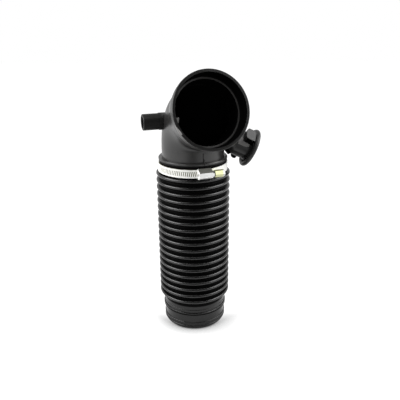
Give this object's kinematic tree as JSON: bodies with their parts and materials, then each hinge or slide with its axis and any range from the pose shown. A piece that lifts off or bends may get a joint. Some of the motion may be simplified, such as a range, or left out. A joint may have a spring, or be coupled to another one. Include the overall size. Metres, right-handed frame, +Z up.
{
  "type": "secondary air hose",
  "caption": "Corrugated rubber air hose standing on its lower cuff, clamped onto a moulded elbow with a wide socket mouth, a small nipple and a sealed side port.",
  "frame": {"origin": "on the hose's axis, at the open end of the lower cuff that the part stands on", "axes": "+Z up along the hose; the viewer stands at -Y; +X to the viewer's right, the side of the sealed port"},
  "size_m": [0.1317, 0.1168, 0.3045],
  "materials": {
    "hose_rubber": "satin",
    "elbow_plastic": "fine moulded texture, satin",
    "clamp_steel": "bright",
    "screw_zinc": "yellow zinc plate",
    "collar_plastic": "satin",
    "oring_rubber": "satin",
    "seal_rubber": "satin"
  },
  "bodies": {
    "hose_assembly": {"bellows_hose": "hose_rubber", "elbow": "elbow_plastic", "clamp_band": "clamp_steel", "clamp_housing": "clamp_steel", "port_collar": "collar_plastic", "port_oring": "oring_rubber", "port_seal": "seal_rubber"},
    "screw": {"clamp_screw": "screw_zinc"}
  },
  "joints": [
    {"name": "screw_turn", "type": "hinge", "parent": "hose_assembly", "child": "screw", "pos_m": [0.01378, -0.04094, 0.19555], "axis": [0.9478, 0.319, 0], "continuous": true}
  ]
}
